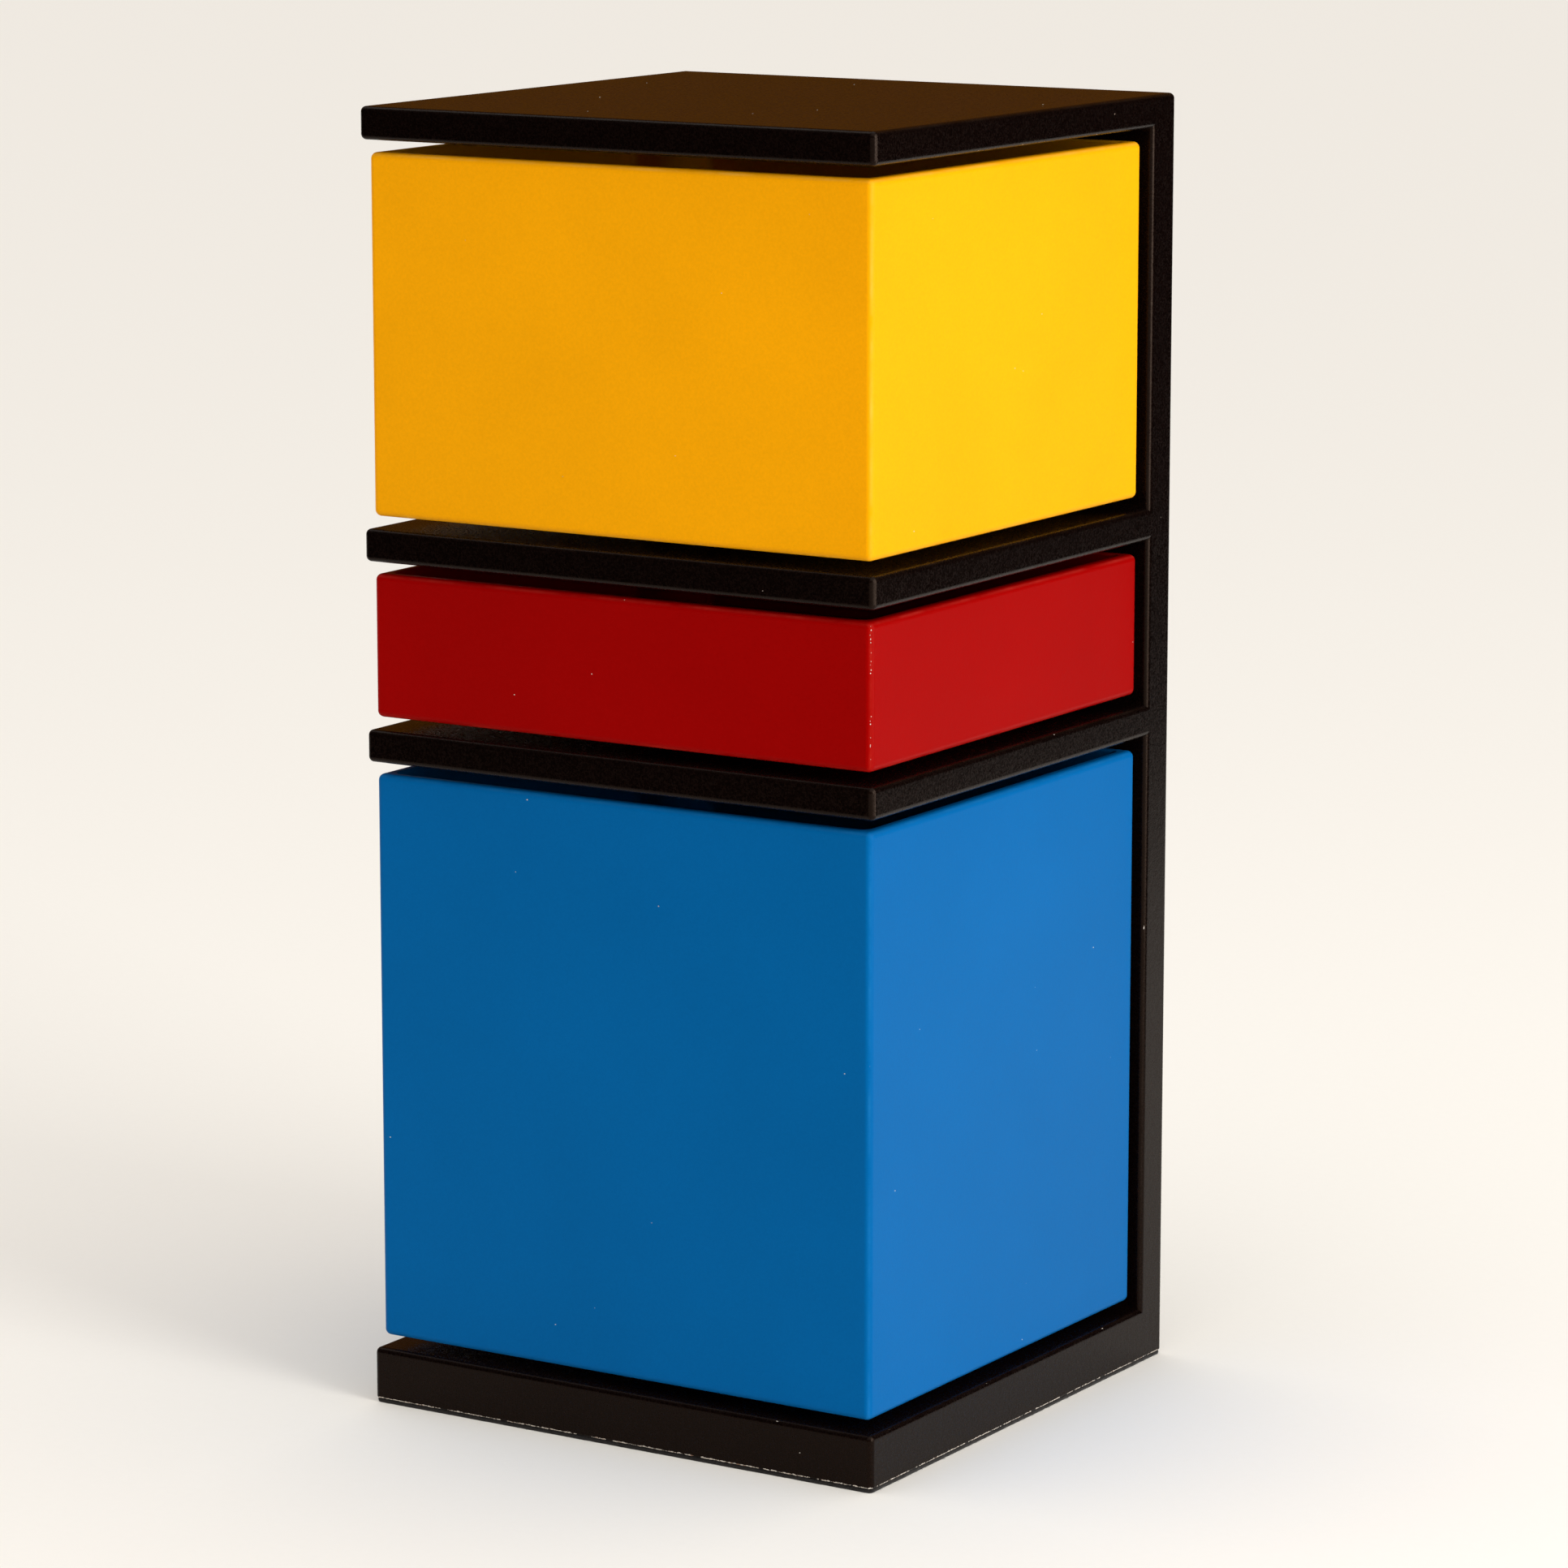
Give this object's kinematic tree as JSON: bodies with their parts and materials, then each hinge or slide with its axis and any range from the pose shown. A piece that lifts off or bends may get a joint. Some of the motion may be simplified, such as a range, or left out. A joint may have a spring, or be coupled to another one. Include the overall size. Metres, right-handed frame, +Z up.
{
  "type": "desk tower with swing-out boxes",
  "caption": "Tall black comb-shaped stand holding coloured open-topped boxes, one in each bay, that swing out sideways on a hidden rod at the back corner.",
  "frame": {"origin": "middle of the footprint, on the surface that the tower stands on", "axes": "+Z up; -Y the open front; +Y the back panel; +X the right-hand side seen from the front, and the pivot rod is at the back left"},
  "size_m": [0.072, 0.071, 0.16],
  "materials": {
    "black_lacquer": "satin black lacquer over wood-fibre board",
    "black_felt": "thin pressed felt",
    "steel_rod": "bright drawn steel",
    "stop_rubber": "matt",
    "yellow_lacquer": "satin lacquer",
    "red_lacquer": "satin lacquer",
    "blue_lacquer": "satin lacquer",
    "brass_sleeve": "drawn tube",
    "nylon_washer": "natural nylon"
  },
  "bodies": {
    "stand": {"base_plate": "black_lacquer", "lower_shelf": "black_lacquer", "upper_shelf": "black_lacquer", "top_plate": "black_lacquer", "back_panel": "black_lacquer", "base_pad": "black_felt", "pivot_rod": "steel_rod", "closing_bumpers": "stop_rubber", "blue_lower_washer": "nylon_washer", "red_lower_washer": "nylon_washer", "yellow_lower_washer": "nylon_washer"},
    "blue_tray": {"blue_box": "blue_lacquer", "blue_sleeve": "brass_sleeve", "blue_upper_washer": "nylon_washer"},
    "red_tray": {"red_box": "red_lacquer", "red_sleeve": "brass_sleeve", "red_upper_washer": "nylon_washer"},
    "yellow_tray": {"yellow_box": "yellow_lacquer", "yellow_sleeve": "brass_sleeve", "yellow_upper_washer": "nylon_washer"}
  },
  "joints": [
    {"name": "blue_box_swing", "type": "hinge", "parent": "stand", "child": "blue_tray", "pos_m": [-0.0307, 0.0238, 0.0438], "axis": [0, 0, -1], "range_deg": [0, 100]},
    {"name": "red_box_swing", "type": "hinge", "parent": "stand", "child": "red_tray", "pos_m": [-0.0307, 0.0238, 0.0949], "axis": [0, 0, -1], "range_deg": [0, 100]},
    {"name": "yellow_box_swing", "type": "hinge", "parent": "stand", "child": "yellow_tray", "pos_m": [-0.0307, 0.0238, 0.1326], "axis": [0, 0, -1], "range_deg": [0, 100]}
  ]
}
